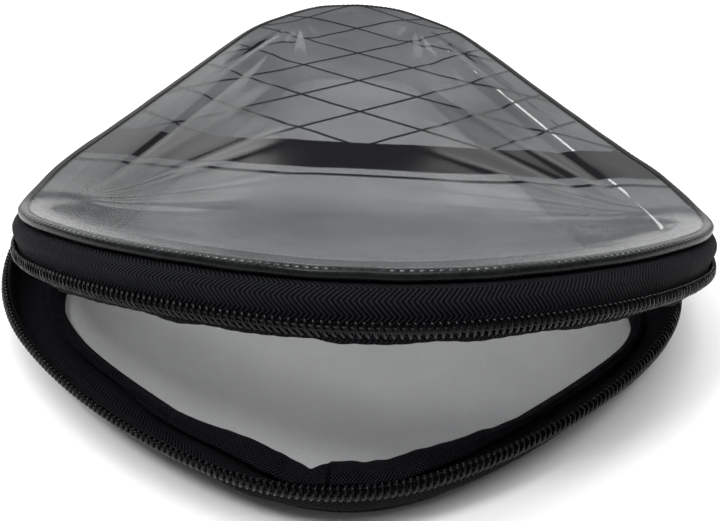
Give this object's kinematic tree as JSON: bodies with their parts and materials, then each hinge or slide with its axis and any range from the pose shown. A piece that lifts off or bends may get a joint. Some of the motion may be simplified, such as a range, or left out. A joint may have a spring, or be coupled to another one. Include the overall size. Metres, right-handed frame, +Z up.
{
  "type": "paddle case",
  "caption": "Soft zip-round case for table-tennis paddles, with clear windows, piped edges, a coil zip all round and a fabric hinge at the narrow end; lid folded up at the mouth.",
  "frame": {"origin": "middle of the case's flat underside, on the surface it rests on", "axes": "+Z up, -Y out of the open mouth at the wide end, +Y towards the hinge at the narrow end, +X to the right of someone who looks into the mouth"},
  "size_m": [0.2018, 0.2709, 0.0703],
  "materials": {
    "clear_sheet": "clear grey flexible sheet, lightly wrinkled",
    "piping": "satin black extruded piping",
    "zip_tape": "black herringbone woven tape",
    "binding": "black plain-weave binding over padding",
    "zip_coil": "black nylon coil",
    "zip_metal": "black enamelled metal"
  },
  "bodies": {
    "base": {"base_window": "clear_sheet", "base_piping": "piping", "base_zip_tape": "zip_tape", "base_binding": "binding", "base_hinge_band": "zip_tape", "base_zip_coil": "zip_coil", "base_zip_stops": "zip_metal"},
    "lid": {"lid_window": "clear_sheet", "lid_piping": "piping", "lid_zip_tape": "zip_tape", "lid_binding": "binding", "lid_hinge_band": "zip_tape", "lid_zip_coil": "zip_coil", "lid_zip_stops": "zip_metal"},
    "slider": {"slider_body": "zip_metal"},
    "tab": {"pull_tab": "zip_metal"}
  },
  "joints": [
    {"name": "lid_hinge", "type": "hinge", "parent": "base", "child": "lid", "pos_m": [0, 0.1354, 0.0166], "axis": [-1, 0, 0], "range_deg": [0, 165]},
    {"name": "slider_run", "type": "slide", "parent": "base", "child": "slider", "axis": [0.3889, -0.9213, 0], "range_m": [0, 0.1]},
    {"name": "tab_flip", "type": "hinge", "parent": "slider", "child": "tab", "pos_m": [0.04992, 0.10501, 0.0166], "axis": [0, 0, 1], "range_deg": [0, 170]}
  ]
}
